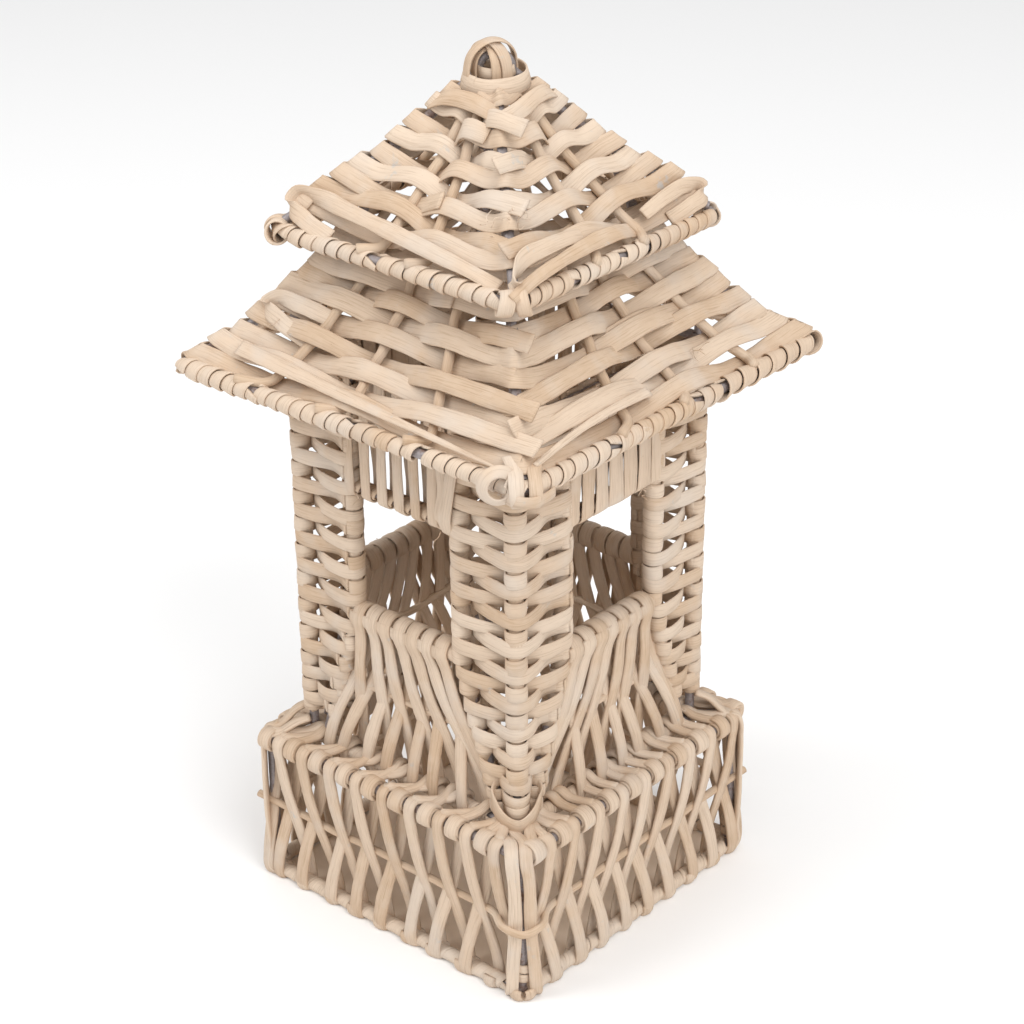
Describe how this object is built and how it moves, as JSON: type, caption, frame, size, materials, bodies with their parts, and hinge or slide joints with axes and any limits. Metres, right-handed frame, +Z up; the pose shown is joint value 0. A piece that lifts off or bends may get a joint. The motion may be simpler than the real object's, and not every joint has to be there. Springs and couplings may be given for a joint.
{
  "type": "rattan pagoda lantern",
  "caption": "Square pagoda-shaped candle lantern of woven rattan strip on a wire frame, with a laced plinth, four windows and a two-tier roof with a knob on top.",
  "frame": {"origin": "centre of the footprint on the ground", "axes": "+Z up, -Y the front wall, +X the right wall; the four walls are alike"},
  "size_m": [0.1994, 0.1994, 0.3965],
  "materials": {
    "rattan_strip": "bleached flat rattan peel, dry and matt, with fine lengthwise grain and patchy whitewash",
    "round_reed": "bleached round rattan core, matt",
    "frame_wire": "dull grey zinc-coated wire with light rust stains"
  },
  "bodies": {
    "root": {"base_bottom_wire": "frame_wire", "base_top_wire": "frame_wire", "base_corner_rods": "frame_wire", "ledge_struts": "frame_wire", "ledge_wire": "frame_wire", "post_spine_wires": "frame_wire", "post_jamb_wires": "frame_wire", "sill_wires": "frame_wire", "head_wires": "frame_wire", "tower_top_wires": "frame_wire", "lower_eave_wire": "frame_wire", "lower_hip_wires": "frame_wire", "upper_eave_wire": "frame_wire", "upper_hip_wires": "frame_wire", "finial_loop": "frame_wire", "base_mid_reeds": "round_reed", "parapet_mid_reeds": "round_reed", "lower_roof_stakes": "round_reed", "upper_roof_stakes": "round_reed", "base_lacing_front": "rattan_strip", "base_lacing_right": "rattan_strip", "base_lacing_back": "rattan_strip", "base_lacing_left": "rattan_strip", "base_foot_wraps": "rattan_strip", "ledge_lacing_front": "rattan_strip", "ledge_lacing_right": "rattan_strip", "ledge_lacing_back": "rattan_strip", "ledge_lacing_left": "rattan_strip", "parapet_lacing_front": "rattan_strip", "parapet_lacing_right": "rattan_strip", "parapet_lacing_back": "rattan_strip", "parapet_lacing_left": "rattan_strip", "post_weave_front_right": "rattan_strip", "post_weave_back_right": "rattan_strip", "post_weave_back_left": "rattan_strip", "post_weave_front_left": "rattan_strip", "valance_front": "rattan_strip", "valance_right": "rattan_strip", "valance_back": "rattan_strip", "valance_left": "rattan_strip", "lower_roof_weave_front": "rattan_strip", "lower_roof_weave_right": "rattan_strip", "lower_roof_weave_back": "rattan_strip", "lower_roof_weave_left": "rattan_strip", "lower_eave_wrap": "rattan_strip", "upper_roof_weave_front": "rattan_strip", "upper_roof_weave_right": "rattan_strip", "upper_roof_weave_back": "rattan_strip", "upper_roof_weave_left": "rattan_strip", "upper_eave_wrap": "rattan_strip", "finial_weave": "rattan_strip"}
  },
  "joints": []
}
